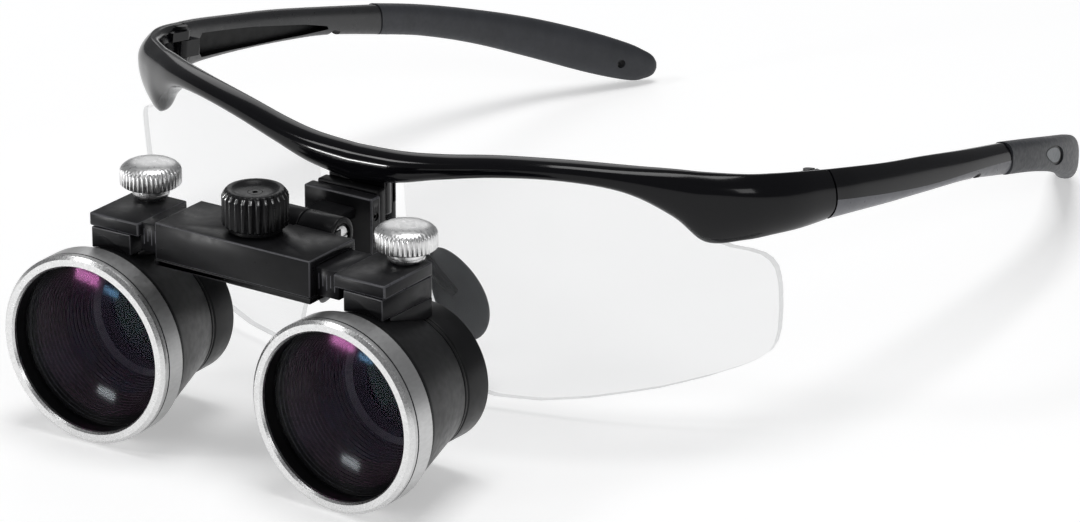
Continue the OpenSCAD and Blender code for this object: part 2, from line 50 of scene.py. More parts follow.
HINGE = (68.3, 82, 40.4)     # middle of the left temple hinge
HINGE_LEAN = math.radians(9)
SIDES = (("left", 1), ("right", -1))

# Rows of the swept bars, from the middle of the brow to the end of the left temple:
# x and y of the middle line, top z, bottom z, thickness, ridge z and ridge weight
BROW = [
    (0, 43.75, 46.75, 40.3, 5.1, 43.5, 0), (9, 44.05, 47.05, 41.6, 5.2, 44.3, 0),
    (17, 45.2, 47.75, 43.5, 5.1, 45.7, 0), (27, 47.6, 48.85, 45.25, 5.0, 47.1, 0),
    (38, 51.5, 49.15, 45.75, 5.1, 47.4, 0), (47.2, 56.3, 48.65, 44.1, 5.3, 46.2, 0.1),
    (54.1, 60.9, 48.05, 39.6, 5.5, 45.2, 0.45), (58.6, 64.2, 47.45, 34.9, 5.5, 44.4, 0.8),
    (63.9, 68.6, 46.85, 35.0, 5.1, 42.9, 1), (67, 73.2, 46.3, 35.3, 4.7, 41.5, 1),
    (68.9, 78.2, 45.5, 35.2, 4.4, 40.3, 1), (70.2, 84.85, 44.15, 35.05, 4.2, 39.1, 1),
]
ARM = [
    (70.3, 85.15, 44.1, 35.05, 4.2, 39.05, 1), (71.2, 92, 42.7, 34.35, 4.1, 37.6, 1),
    (71.9, 103, 40.3, 32.85, 3.9, 35.3, 1), (72, 116, 37.6, 30.95, 3.9, 32.8, 1),
    (71.5, 131, 34.1, 28.35, 3.9, 30.3, 0.9), (70.3, 146.9, 30.4, 24.25, 3.9, 27.3, 0.6),
]
TIP = [
    (70.3, 147.1, 30.5, 24.2, 4.3, 27.3, 0), (68.9, 160, 27, 20.6, 4.5, 23.8, 0),
    (66, 174, 22.7, 15.6, 4.7, 19.1, 0), (61.4, 188, 17.9, 9.5, 4.9, 13.7, 0),
    (55.3, 200, 12.9, 4, 4.9, 8.4, 0), (50.6, 208, 8.9, 1, 4.4, 4.9, 0),
    (48.6, 211, 6.9, 0.95, 3.4, 3.9, 0), (47.5, 212.5, 5.6, 1.5, 2.2, 3.5, 0),
    (47, 213.2, 4.2, 2.6, 0.8, 3.4, 0),
]
# Clear shield: lower and upper edge (x, z) of its left half, seen from the front
SHIELD_LOW = [
    (0, 31), (4, 30.7), (6, 30), (8.5, 27.6), (11, 23.5), (14.5, 15), (17, 8), (18.2, 5.5),
    (19.5, 4), (21.4, 2.8), (23.5, 2.4), (31.5, 2.7), (39.6, 4.1), (51, 6.9), (58.4, 9.4),
    (63, 11.3), (65.6, 12.7), (66.9, 14), (67.7, 15.7), (68.2, 18), (68.55, 22), (68.65, 26),
]
SHIELD_HIGH = [
    (0, 34), (9.4, 34), (9.5, 43.6), (17, 45.2), (27, 46.6), (38, 46.8), (47, 45.6),
    (53, 43.2), (58, 38.2), (60, 35.6), (62.4, 34.3), (65, 33.5), (66.6, 32.7), (67.6, 31.6),
    (68.3, 30), (68.55, 28), (68.65, 26),
]
LENS_T = 1.5                 # thickness of the shield
LENS_MIDDLE_Y = 44.5         # where its middle lies at the height LENS_MIDDLE_Z
LENS_MIDDLE_Z = 44
LENS_WRAP_R = 104
LENS_LEAN = 0.13
RIM_SIDE_X = 60              # beyond this the shield's upper rim is clear of the frame

# Temple hinge, about its own axis
LUG_R = 2.1
LUG_HEIGHTS = ((-3.4, -1.7), (1.7, 3.4))
KNUCKLE_R = 2.25
KNUCKLE_HALF = 1.58
POST_R = 3.0                 # what the end piece keeps round the pin

# Optics: radii, and lengths behind the ring's front
RING_PROFILE = [
    (14.9, 1.0), (14.9, 0.45), (15.2, 0), (16.35, 0), (16.95, 0.55), (17.0, 0.8), (17.0, 1.45),
    (16.86, 1.5), (16.86, 1.72), (17.0, 1.77), (17.0, 5.45), (16.8, 5.68), (16.05, 5.68),
    (16.05, 1.0),
]
BARREL_PROFILE = [
    (15.05, 1.1), (15.95, 1.1), (15.95, 5.85), (16.3, 5.85), (16.3, 6.9), (12.6, 20.35),
    (11.0, 20.35), (11.0, 18.4), (14.25, 6.4), (14.25, 5.45), (15.05, 5.45),
]
CELL_PROFILE = [
    (10.0, 18.6), (10.9, 18.6), (10.9, 20.5), (12.6, 20.5), (12.6, 21.0), (12.35, 21.1),
    (12.35, 21.4), (12.6, 21.5), (12.6, 26.8), (12.0, 27.35), (9.6, 27.35), (9.0, 26.9),
    (9.0, 26.4), (10.2, 26.4), (10.2, 22.3), (10.0, 22.3),
]
SEAT_PROFILE = [(0, 0), (16.34, 0), (16.34, 6.9), (12.64, 20.4), (12.64, 30), (0, 30)]
THREAD_TURNS = 19
THREAD_PITCH = 0.72
THREAD_DEPTH = 0.3
THREAD_START = (14.75, 3.9)
THREAD_TAPER = 0.22          # how much smaller each turn's radius is
LENS_FACE_STEPS = 10

# Knobs: radius, height and flute weight
THUMB_PROFILE = [
    (0, 38.75), (2.8, 38.75), (3.2, 39.1), (3.2, 39.5), (3.0, 39.65), (3.0, 40.9),
    (4.9, 40.9), (5.38, 41.25, 1), (5.38, 43.5, 1), (5.2, 43.95, 0.5), (4.75, 44.4),
    (4.1, 44.75), (3.2, 44.98), (2.2, 45.1), (1.1, 45.16), (0, 45.18),
]
KNOB_PROFILE = [
    (0, 40.35), (4.6, 40.35), (4.6, 41.1), (5.2, 41.15), (5.72, 41.5, 1), (5.72, 46.5, 1),
    (5.25, 47.2, 0.8), (4.95, 47.5), (4.55, 47.66), (3.9, 47.45), (3.4, 47.1), (2.4, 46.95),
    (1.3, 46.9), (1.25, 46.4), (1.25, 46.05), (0, 46.05),
]
KNOB_CREST = 5               # the stretch of the knob's profile where the flutes run out

# Bridge
HOUSING_X = (-16.25, 16.25)
HOUSING_Y = (8.05, 20.95)
TILT_BARREL_R = 3.45
TILT_BARREL_X = (3.85, 10.95)
BLOCK_X = (-4.05, 4.05)      # the swivel block and the saddle under it
TICK_X = 16.75               # first scale mark of a rack bar
TICK_STEP = 0.8
RACK_PITCH = math.pi * 0.5
RACK_ROOT, RACK_CREST, RACK_BACK = 3.6, 2.66, 4.95
RACK_X = (-7.2, 16)


def at(x, y, z):
    """A point given behind the rings' fronts, in the row frame."""
    return Vector((x, y - FRONT_Y, z)) * MM


def placed(side):
    """Maps a point of the left side to either side."""
    return lambda x, y, z: at(side * x, y, z)


def telescope(side):
    """Maps a point of a telescope's own frame, its axis along Y, to its place."""
    turn, lift = math.cos(TOE), math.sin(TOE)

    def place(x, y, z):
        along = y - SWIVEL_Y
        return at(side * (SWIVEL_X + x * turn + along * lift),
                  SWIVEL_Y - x * lift + along * turn, z)
    return place


def on_hinge(side):
    """Maps a point about the temple hinge's leaning axis to its place."""
    turn, lift = math.cos(HINGE_LEAN), math.sin(HINGE_LEAN)

    def place(x, y, z):
        return at(side * (HINGE[0] + x), HINGE[1] + y * turn + z * lift,
                  HINGE[2] - y * lift + z * turn)
    return place


# ---------------------------------------------------------------- mesh helpers

BEVEL_ANGLE = 30             # degrees; sharper edges than this are rounded
SHARP_ANGLE = 35             # degrees; flatter edges than this are shaded smooth
BOX_FACES = ((0, 1, 3, 2), (4, 5, 7, 6), (0, 1, 5, 4), (2, 3, 7, 6), (0, 2, 6, 4), (1, 3, 7, 5))
FLUTE_POINTS = 8             # points round each flute
FLUTE_POWER = 1.6            # narrows the flutes and widens the lands
RIDGE_POWER = 1.25           # superellipse powers of a bar's outer side at a full ridge
CROWN_POWER = 2.1


def new_object(name, bm, materials, sharp=SHARP_ANGLE):
    """Turns a bmesh into an object, smooth but for its sharp edges."""
    bmesh.ops.recalc_face_normals(bm, faces=bm.faces)
    mesh = bpy.data.meshes.new(name)
    bm.to_mesh(mesh)
    bm.free()
    for material in materials:
        mesh.materials.append(material)
    obj = bpy.data.objects.new(name, mesh)
    bpy.context.collection.objects.link(obj)
    shade(obj, sharp)
    return obj


def shade(obj, sharp=SHARP_ANGLE):
    mesh = obj.data
    mesh.polygons.foreach_set("use_smooth", [True] * len(mesh.polygons))
    mesh.set_sharp_from_angle(angle=math.radians(sharp))


def bake(obj):
    """Applies the modifiers of a piece to its mesh."""
    depsgraph = bpy.context.evaluated_depsgraph_get()
    mesh = bpy.data.meshes.new_from_object(obj.evaluated_get(depsgraph))
    obj.modifiers.clear()
    obj.data = mesh
    return obj


def cut(obj, *cutters):
    """Takes the cutters out of a piece, and removes them."""
    for cutter in cutters:
        modifier = obj.modifiers.new("cut", "BOOLEAN")
        modifier.operation = "DIFFERENCE"
        modifier.solver = "EXACT"
        modifier.object = cutter
    bake(obj)
    for cutter in cutters:
        bpy.data.objects.remove(cutter)
    return obj


def bevel(obj, width, segments=3, paint=-1):
    """Rounds the edges; paint is the material number of the rounded strips, which carry the
    painted edge highlight.
    """
    modifier = obj.modifiers.new("bevel", "BEVEL")
    modifier.width = width * MM
    modifier.segments = segments
    modifier.limit_method = "ANGLE"
    modifier.angle_limit = math.radians(BEVEL_ANGLE)
    modifier.harden_normals = True
    modifier.material = paint
    bake(obj)
    shade(obj)
    return obj


def join(first, *others):
    """Adds the other objects' meshes to the first one."""
    bm = bmesh.new()
    bm.from_mesh(first.data)
    for other in others:
        bm.from_mesh(other.data)
        bpy.data.objects.remove(other)
    bm.to_mesh(first.data)
    bm.free()
    shade(first)
    return first


def join_painted(first, *others):
    """Joins objects of one material each, giving the first one a slot for each of them."""
    for other in others:
        first.data.materials.append(other.data.materials[0])
        for face in other.data.polygons:
            face.material_index = len(first.data.materials) - 1
    return join(first, *others)


def box(name, x, y, z, materials=(), place=at):
    """A box between pairs of limits in x, y and z."""
    bm = bmesh.new()
    corners = [bm.verts.new(place(a, b, c)) for a in x for b in y for c in z]
    for face in BOX_FACES:
        bm.faces.new([corners[i] for i in face])
    return new_object(name, bm, materials)


def rod(name, radius, start, end, materials=(), segments=48):
    """A cylinder between two points already in place."""
    bm = bmesh.new()
    along = end - start
    turn = along.to_track_quat("Z", "Y").to_matrix().to_4x4()
    bmesh.ops.create_cone(
        bm, cap_ends=True, segments=segments, radius1=radius * MM, radius2=radius * MM,
        depth=along.length, matrix=Matrix.Translation((start + end) / 2) @ turn)
    return new_object(name, bm, materials)


def extruded(name, outline, low, high, point, materials=()):
    """A prism of an outline; point(u, v, w) puts outline point u, v at height w."""
    bm = bmesh.new()
    ends = [[bm.verts.new(point(u, v, w)) for u, v in outline] for w in (low, high)]
    count = len(outline)
    for i in range(count):
        j = (i + 1) % count
        bm.faces.new((ends[0][i], ends[0][j], ends[1][j], ends[1][i]))
    for end in ends:
        bm.faces.new(end)
    return new_object(name, bm, materials)


def turned(name, profile, place, materials, segments=144, closed=True, flutes=0, depth=0.0,
           paint=None, upright=None, sharp=32):
    """A profile of (radius, length[, flute weight]) turned about an axis.

    The axis is a telescope's own, or the upright line through the point upright.
    paint(index of the profile's stretch, angle share) gives a face's material number.
    """
    if flutes:
        segments = flutes * FLUTE_POINTS
    bm = bmesh.new()
    rings = []
    for entry in profile:
        radius, length = entry[0], entry[1]
        weight = entry[2] if len(entry) > 2 else 0
        if radius < 1e-6:
            rings.append([bm.verts.new(
                place(upright[0], upright[1], length) if upright else place(0, length, AXIS_Z))])
            continue
        ring = []
        for k in range(segments):
            angle = 2 * math.pi * k / segments
            valley = (0.5 + 0.5 * math.cos(flutes * angle)) ** FLUTE_POWER
            r = radius - weight * depth * valley
            a, b = r * math.cos(angle), r * math.sin(angle)
            ring.append(bm.verts.new(
                place(upright[0] + a, upright[1] + b, length) if upright
                else place(a, length, AXIS_Z + b)))
        rings.append(ring)
    pairs = list(zip(rings, rings[1:]))
    if closed:
        pairs.append((rings[-1], rings[0]))
    for i, (one, two) in enumerate(pairs):
        if len(one) == 1 and len(two) == 1:
            continue
        for k in range(segments):
            n = (k + 1) % segments
            if len(one) == 1:
                corners = (one[0], two[k], two[n])
            elif len(two) == 1:
                corners = (one[k], two[0], one[n])
            else:
                corners = (one[k], two[k], two[n], one[n])
            face = bm.faces.new(corners)
            if paint:
                face.material_index = paint(i, (k * (flutes or 1) / segments) % 1)
    return new_object(name, bm, materials, sharp)


def rounded(points, radius, steps=4):
    """A profile with every corner between its two ends rounded off."""
    out = [points[0]]
    for before, here, after in zip(points, points[1:], points[2:]):
        a, b, c = (Vector(p[:2]) for p in (before, here, after))
        r = min(radius, (a - b).length * 0.45, (c - b).length * 0.45)
        start = b + (a - b).normalized() * r
        end = b + (c - b).normalized() * r
        for k in range(steps + 1):
            t = k / steps
            p = start * (1 - t) ** 2 + b * 2 * t * (1 - t) + end * t ** 2
            out.append((p.x, p.y))
    out.append(points[-1])
    return out


def smooth(rows, steps):
    """More rows on a smooth curve through the given ones."""
    out = []
    for i in range(len(rows) - 1):
        p0, p1 = rows[max(i - 1, 0)], rows[i]
        p2, p3 = rows[i + 1], rows[min(i + 2, len(rows) - 1)]
        for k in range(steps):
            t = k / steps
            out.append(tuple(
                b + t * (c - a) / 2 + t * t * (a - 2.5 * b + 2 * c - d / 2)
                + t ** 3 * (1.5 * b - a / 2 - 1.5 * c + d / 2)
                for a, b, c, d in zip(p0, p1, p2, p3)))
    out.append(tuple(rows[-1]))
    return out


def power(value, exponent):
    """A power that keeps the value's sign."""
    return math.copysign(abs(value) ** exponent, value)


def swept(name, rows, place, materials, sides=40, inner=2.6, plain=2.3, paint=None, sharp=48):
    """A bar swept along rows of x, y, top, bottom, thickness, ridge z and ridge weight.

    Its outer side comes to a ridge where the weight is 1, and is rounded where it is 0.
    inner and plain are the superellipse powers of its inner side and its rounded outer side.
    paint(row index, angle) gives a face's material number.
    """
    bm = bmesh.new()
    rings = []
    for i, row in enumerate(rows):
        x, y, top, bottom, thick, ridge, weight = row
        before, after = rows[max(i - 1, 0)], rows[min(i + 1, len(rows) - 1)]
        heading = math.atan2(after[1] - before[1], after[0] - before[0])
        across_x, across_y = math.sin(heading), -math.cos(heading)
        middle = (top + bottom) / 2
        ring = []
        for k in range(sides):
            angle = 2 * math.pi * k / sides
            c, s = math.cos(angle), math.sin(angle)
            if c > 0:
                e = plain * (1 - weight) + RIDGE_POWER * weight
                z0 = middle * (1 - weight) + ridge * weight
                e_up = plain * (1 - weight) + CROWN_POWER * weight
            else:
                e, z0, e_up = inner, middle, inner
            if abs(c) < 1e-9:
                z0 = middle
            across = thick / 2 * power(c, 2 / e)
            reach = (top - z0) if s > 0 else (z0 - bottom)
            up = z0 + reach * power(s, 2 / e_up)
            ring.append(bm.verts.new(place(x + across * across_x, y + across * across_y, up)))
        rings.append(ring)
    for i, (one, two) in enumerate(zip(rings, rings[1:])):
        for k in range(sides):
            n = (k + 1) % sides
            face = bm.faces.new((one[k], two[k], two[n], one[n]))
            if paint:
                face.material_index = paint(i, 2 * math.pi * (k + 0.5) / sides)
    for ring in (rings[0], rings[-1]):
        bm.faces.new(ring)
    return new_object(name, bm, materials, sharp)


def tube(name, points, radius, sides=16):
    """A round bar along points already in place."""
    bm = bmesh.new()
    rings = []
    for i, point in enumerate(points):
        ahead = points[min(i + 1, len(points) - 1)] - points[max(i - 1, 0)]
        turn = ahead.to_track_quat("Z", "Y").to_matrix()
        ring = []
        for k in range(sides):
            a = 2 * math.pi * k / sides
            ring.append(bm.verts.new(
                point + turn @ Vector((math.cos(a), math.sin(a), 0)) * radius * MM))
        rings.append(ring)
    for one, two in zip(rings, rings[1:]):
        for k in range(sides):
            n = (k + 1) % sides
            bm.faces.new((one[k], two[k], two[n], one[n]))
    for ring in (rings[0], rings[-1]):
        bm.faces.new(ring)
    return new_object(name, bm, [])


def finish_piece(piece, body, slot, *nodes):
    """Puts a piece on its body and in place of its CAD nodes; slot is not used."""
    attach(piece, body)
    if nodes:
        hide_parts(*nodes)


# ---------------------------------------------------------------- materials

NOISE_RANGE = (0.3, 0.7)     # where most of a noise's values lie
LENS_ROUGHNESS = 0.09


def material(name, color, roughness=0.4, metallic=0.0, coat=0.0, coat_roughness=0.05,
             specular=0.5, alpha=1.0, ior=1.45):
    """A Principled material; every constant is set on the shader's own socket."""
    mat = bpy.data.materials.new(name)
    mat.use_nodes = True
    shader = mat.node_tree.nodes["Principled BSDF"]
    shader.inputs["Base Color"].default_value = (*color, 1)
    shader.inputs["Roughness"].default_value = roughness
    shader.inputs["Metallic"].default_value = metallic
    shader.inputs["Coat Weight"].default_value = coat
    shader.inputs["Coat Roughness"].default_value = coat_roughness
    shader.inputs["Specular IOR Level"].default_value = specular
    shader.inputs["IOR"].default_value = ior
    shader.inputs["Alpha"].default_value = alpha
    return mat


def texture(mat, scale, stretch=(1, 1, 1), detail=4):
    """A noise over the object's own coordinates, in cells per metre."""
    nodes, links = mat.node_tree.nodes, mat.node_tree.links
    coords = nodes.new("ShaderNodeTexCoord")
    mapping = nodes.new("ShaderNodeMapping")
    mapping.inputs["Scale"].default_value = [scale * s for s in stretch]
    noise = nodes.new("ShaderNodeTexNoise")
    noise.inputs["Scale"].default_value = 1
    noise.inputs["Detail"].default_value = detail
    links.new(coords.outputs["Object"], mapping.inputs["Vector"])
    links.new(mapping.outputs["Vector"], noise.inputs["Vector"])
    return noise.outputs["Fac"]


def remap(mat, value, low, high):
    """Spreads a noise over a range of its own."""
    node = mat.node_tree.nodes.new("ShaderNodeMapRange")
    node.inputs["From Min"].default_value = NOISE_RANGE[0]
    node.inputs["From Max"].default_value = NOISE_RANGE[1]
    node.inputs["To Min"].default_value = low
    node.inputs["To Max"].default_value = high
    mat.node_tree.links.new(value, node.inputs["Value"])
    return node.outputs["Result"]


def vary_roughness(mat, value, low, high):
    shader = mat.node_tree.nodes["Principled BSDF"]
    mat.node_tree.links.new(remap(mat, value, low, high), shader.inputs["Roughness"])


def vary_color(mat, value, dark, light):
    nodes, links = mat.node_tree.nodes, mat.node_tree.links
    ramp = nodes.new("ShaderNodeValToRGB")
    for element, position, color in zip(ramp.color_ramp.elements, NOISE_RANGE, (dark, light)):
        element.position = position
        element.color = (*color, 1)
    links.new(value, ramp.inputs["Fac"])
    links.new(ramp.outputs["Color"], nodes["Principled BSDF"].inputs["Base Color"])


def bump(mat, value, height):
    """Adds a relief of a height in millimetres to those already there."""
    nodes, links = mat.node_tree.nodes, mat.node_tree.links
    node = nodes.new("ShaderNodeBump")
    node.inputs["Strength"].default_value = 1.0
    node.inputs["Distance"].default_value = height * MM
    links.new(value, node.inputs["Height"])
    shader = nodes["Principled BSDF"]
    if shader.inputs["Normal"].is_linked:
        links.new(shader.inputs["Normal"].links[0].from_socket, node.inputs["Normal"])
    links.new(node.outputs["Normal"], shader.inputs["Normal"])


def gloss_black():
    mat = material("gloss_black", (0.003, 0.003, 0.004), 0.08, coat=0.12, coat_roughness=0.03,
                   specular=0.2)
    vary_roughness(mat, texture(mat, 90), 0.1, 0.17)
    bump(mat, texture(mat, 110, detail=1), 0.004)
    return mat


def satin_grey(name, tone, specular):
    mat = material(name, (tone, tone, tone * 1.12), 0.32, specular=specular)
    vary_roughness(mat, texture(mat, 900), 0.26, 0.4)
    vary_color(mat, texture(mat, 90), (tone * 0.8, tone * 0.82, tone * 0.9),
               (tone * 1.2, tone * 1.22, tone * 1.36))
    bump(mat, texture(mat, 3000), 0.006)
    return mat


def soft_rubber(name, dark, light):
    mat = material(name, light, 0.5, specular=0.4)
    vary_color(mat, texture(mat, 200), dark, light)
    vary_roughness(mat, texture(mat, 1200), 0.42, 0.58)
    bump(mat, texture(mat, 3200), 0.008)
    return mat


def anodised(name, tone, roughness, grain=3500, height=0.006, specular=0.2):
    mat = material(name, (tone, tone, tone * 1.1), roughness, specular=specular)
    vary_roughness(mat, texture(mat, 700), roughness - 0.05, roughness + 0.07)
    vary_color(mat, texture(mat, 240), (tone * 0.8, tone * 0.8, tone * 0.88),
               (tone * 1.25, tone * 1.25, tone * 1.4))
    bump(mat, texture(mat, grain), height)
    return mat


def brushed(name, tone, low, high, stretch=(1, 1, 1), scale=2600, height=0.012):
    mat = material(name, (tone, tone, tone), (low + high) / 2, metallic=1.0)
    grain = texture(mat, scale, stretch, detail=5)
    vary_roughness(mat, grain, low, high)
    vary_color(mat, texture(mat, scale * 0.8, stretch), (tone * 0.9,) * 3, (tone,) * 3)
    bump(mat, grain, height)
    return mat


def clear_shield(name, alpha, tone):
    mat = material(name, tone, 0.03, coat=0.2, coat_roughness=0.02, alpha=alpha)
    vary_roughness(mat, texture(mat, 60), 0.02, 0.05)
    return mat


def coated_lens(name, color, tint, alpha):
    mat = material(name, color, LENS_ROUGHNESS, alpha=alpha, ior=1.5)
    shader = mat.node_tree.nodes["Principled BSDF"]
    shader.inputs["Specular Tint"].default_value = (*tint, 1)
    vary_roughness(mat, texture(mat, 80), LENS_ROUGHNESS, LENS_ROUGHNESS + 0.02)
    return mat


GLOSS = gloss_black()
# Satin finish whose lighter grey tone is a painted reflection of the floor on the arm's lower
# face.
SATIN_GREY_PAINTED_REFLECTION = satin_grey("satin_grey", 0.1, 0.4)
SATIN_DARK = satin_grey("satin_dark", 0.014, 0.6)
TIP_RUBBER = soft_rubber("tip_rubber", (0.028, 0.03, 0.034), (0.037, 0.039, 0.045))
TIP_PLATE = soft_rubber("tip_plate", (0.13, 0.14, 0.15), (0.2, 0.21, 0.22))
PAD_RUBBER = soft_rubber("pad_rubber", (0.014, 0.015, 0.017), (0.04, 0.042, 0.045))
# Painted highlight: a lighter black for the bevel strips, drawing bright lines along the edges.
EDGE_HIGHLIGHT = anodised("painted_edge_highlight", 0.05, 0.3, specular=0.5)
HOUSING_BLACK = anodised("housing_black", 0.008, 0.32)
BAR_BLACK = anodised("bar_black", 0.011, 0.34, grain=2600, height=0.01)
BARREL_BLACK = anodised("barrel_black", 0.006, 0.34, grain=4200, height=0.003, specular=0.3)
KNOB_BLACK = anodised("knob_black", 0.007, 0.3, specular=0.25)
BLOCK_BLACK = anodised("block_black", 0.007, 0.34)
BAFFLE_BLACK = anodised("baffle_black", 0.004, 0.4)
# Painted highlight for the rear flanks of the baffle's threads.
BAFFLE_HIGHLIGHT = anodised("baffle_painted_highlight", 0.16, 0.3, specular=0.6)
PLASTIC_BLACK = anodised("plastic_black", 0.008, 0.4)
# Painted shade for the floor and rear wall of the ring's groove.
GROOVE_SHADE = anodised("groove_painted_shade", 0.03, 0.6)
RING_SILVER = brushed("ring_silver", 0.6, 0.34, 0.42, stretch=(1, 0.4, 1), height=0.006)
RING_BEVEL = brushed("ring_bevel", 0.72, 0.22, 0.36)
POLISHED = brushed("polished_silver", 0.82, 0.24, 0.44, scale=1600, height=0.006)
STEEL = brushed("steel", 0.5, 0.22, 0.36)
DARK_STEEL = brushed("dark_steel", 0.06, 0.3, 0.45)
BRIGHT_EDGE = brushed("bright_edge", 0.4, 0.2, 0.32)
SCALE_MARK = anodised("scale_mark", 0.13, 0.5)
SHIELD = clear_shield("clear_lens", 0.075, (0.3, 0.31, 0.32))
SHIELD_EDGE = clear_shield("clear_lens_edge", 0.3, (0.2, 0.22, 0.23))
OBJECTIVE = coated_lens("coated_front", (0.001, 0.001, 0.002), (0.9, 0.22, 0.7), 0.15)
OBJECTIVE_BACK = coated_lens("coated_back", (0.001, 0.001, 0.002), (0.85, 0.95, 1.0), 0.1)
INNER_LENS = coated_lens("coated_inner", (0.001, 0.002, 0.004), (0.2, 0.55, 1.0), 0.12)
EYEPIECE = coated_lens("coated_eye", (0.004, 0.006, 0.008), (0.4, 0.8, 0.6), 0.97)


# ---------------------------------------------------------------- spectacle frame

def frame_pieces():
    left = smooth(BROW, 8)
    rows = [(-r[0],) + r[1:] for r in reversed(left[1:])] + left
    bar = swept("front_frame_shell", rows, at, [GLOSS, SATIN_DARK],
                paint=lambda i, a: frame_paint(rows[i], a))
    boss = box("boss", (-6, 6), (43.8, 46.15), (34.5, 42))
    bevel(boss, 0.5)
    lug_parts = []
    pockets = []
    for _, side in SIDES:
        place = on_hinge(side)
        for low, high in LUG_HEIGHTS:
            lug = rod("lug", LUG_R, place(0, 0, low), place(0, 0, high))
            root = box("root", (-LUG_R, 0.7), (-4.5, 0), (low, high), place=place)
            lug_parts += [lug, root]
        pockets += hinge_pockets(place)
    cut(bar, *pockets)
    join(bar, boss, *lug_parts)
    bar.data.materials.clear()      # the cutters may have left empty slots behind
    for mat in (GLOSS, SATIN_DARK):
        bar.data.materials.append(mat)
    finish_piece(bar, "frame", "frame_gloss", "front_frame")


def hinge_pockets(place):
    """Cutters for the knuckle's slot, the arm's swing and the gap behind the end piece."""
    inner, behind, tall = -10, 14, (-7, 7)
    slot = box("pocket", (inner, 2.65), (-2.9, behind), (-1.8, 1.8), place=place)
    swing = box("swing", (inner, 0.4), (-0.6, behind), tall, place=place)
    cut(swing, rod("post", POST_R, place(0, 0, -9), place(0, 0, 9)))
    end_gap = box("end_gap", (inner, 10), (2.95, behind), tall, place=place)
    return [slot, swing, end_gap]


def frame_paint(row, angle):
    """The outer face below the ridge is satin on the end pieces."""
    below = math.radians(285) < angle < math.radians(359.9)
    return 1 if below and row[6] > 0.7 else 0


def level(points, x):
    """The height of an edge of the shield at x."""
    for (x0, z0), (x1, z1) in zip(points, points[1:]):
        if x0 <= x <= x1:
            return z0 + (z1 - z0) * (x - x0) / max(x1 - x0, 1e-9)
    return points[-1][1]


def shield_y(x, z):
    """The shield wraps round a cylinder and leans back towards its lower edge."""
    wrap = LENS_WRAP_R - math.sqrt(LENS_WRAP_R ** 2 - x * x)
    return LENS_MIDDLE_Y + wrap + LENS_LEAN * (LENS_MIDDLE_Z - z)


def shield_piece():
    """A grid of columns between the two edges, front and back, closed by a rim."""
    stops = sorted({x for x, _ in SHIELD_LOW + SHIELD_HIGH})
    columns = []
    for a, b in zip(stops, stops[1:]):
        steps = max(1, round((b - a) / 1.5))
        columns += [a + (b - a) * k / steps for k in range(steps)]
    columns.append(stops[-1] - 0.02)
    columns = [-x for x in reversed(columns[1:])] + columns
    rows = 16
    bm = bmesh.new()
    grids = []
    for shift in (-LENS_T / 2, LENS_T / 2):
        grid = []
        for x in columns:
            low, high = level(SHIELD_LOW, abs(x)), level(SHIELD_HIGH, abs(x))
            heights = [low + (high - low) * k / rows for k in range(rows + 1)]
            grid.append([bm.verts.new(at(x, shield_y(x, z) + shift, z)) for z in heights])
        grids.append(grid)
    last = len(columns) - 1
    for grid in grids:
        for i in range(last):
            for k in range(rows):
                bm.faces.new((grid[i][k], grid[i + 1][k], grid[i + 1][k + 1], grid[i][k + 1]))
    rim = [(i, 0) for i in range(last)] + [(last, k) for k in range(rows)]
    rim += [(i, rows) for i in range(last, 0, -1)] + [(0, k) for k in range(rows, 0, -1)]
    for (i, k), (j, m) in zip(rim, rim[1:] + rim[:1]):
        face = bm.faces.new((grids[0][i][k], grids[0][j][m], grids[1][j][m], grids[1][i][k]))
        outer = k == 0 or abs(columns[i]) > RIM_SIDE_X
        face.material_index = 1 if outer else 0
    shield = new_object("clear_shield", bm, [SHIELD, SHIELD_EDGE], 50)
    finish_piece(shield, "frame", "clear_lens", "shield_lens")


def nose_pieces():
    neck = box("nose_bridge_piece", (-4.5, 4.5), (47.6, 49.7), (30.2, 40), [PLASTIC_BLACK])
    upper = box("upper", (-4.5, 4.5), (46.3, 49.7), (35, 40))
    bevel(neck, 0.7)
    bevel(upper, 0.6)
    parts = [upper]
    path = [(3.2, 49.0, 31.6), (6.2, 50.2, 28.4), (9.4, 51.6, 24.6), (11.6, 52.8, 21.4),
            (13, 54.4, 18.6)]
    for _, side in SIDES:
        place = placed(side)
        parts.append(tube("arm", [place(*p) for p in smooth(path, 6)], 1.05))
    join(neck, *parts)
    finish_piece(neck, "frame", "satin_black", "nose_bridge")
    for name, side in SIDES:
        pad = nose_pad("nose_pad_" + name + "_soft", placed(side))
        finish_piece(pad, "frame", "pad_rubber", "nose_pad_" + name)


def nose_pad(name, place):
    """A soft oval pad, thick in its middle, from its top end down to its lower end."""
    top, low = Vector((8.9, 55.4, 24.6)), Vector((16.2, 56.4, 11.2))
    axis = (low - top).normalized()
    across = Vector((0.42, 0.9, 0.12))
    across = (across - axis * across.dot(axis)).normalized()
    thick = axis.cross(across)
    half = (low - top).length / 2
    bm = bmesh.new()
    bmesh.ops.create_uvsphere(bm, u_segments=40, v_segments=28, radius=1)
    for vert in bm.verts:
        p = vert.co.copy()
        wide = 4.6 + 1.0 * p.z
        q = (top + low) / 2 + axis * p.z * (half + 1.2) + across * p.x * wide
        q += thick * (p.y * 1.9 + 0.7 * p.x * p.x)
        vert.co = place(*q)
    return new_object(name, bm, [PAD_RUBBER])


# ---------------------------------------------------------------- temples

CORD_HOLE = ((51.8 - 8, 206 - 5.33, 5.4), (51.8 + 8, 206 + 5.33, 5.4))
NOTCH_R = 1.7                # the round notch under the arm's rear end
NOTCH_YZ = (133.3, 27.5)
# The hollow in the arm's inner face: y, and height over the hollow's own sloping middle line
HOLLOW_OUTLINE = [
    (89.2, 1.2), (90.4, 2.3), (108, 2.0), (124, 1.25), (130.5, 0.5), (131, -0.2),
    (124, -0.9), (108, -1.9), (90.4, -2.6), (89.2, -1.6),
]
WINDOW_DEPTH = 2.35          # from the tip's middle line out to its face


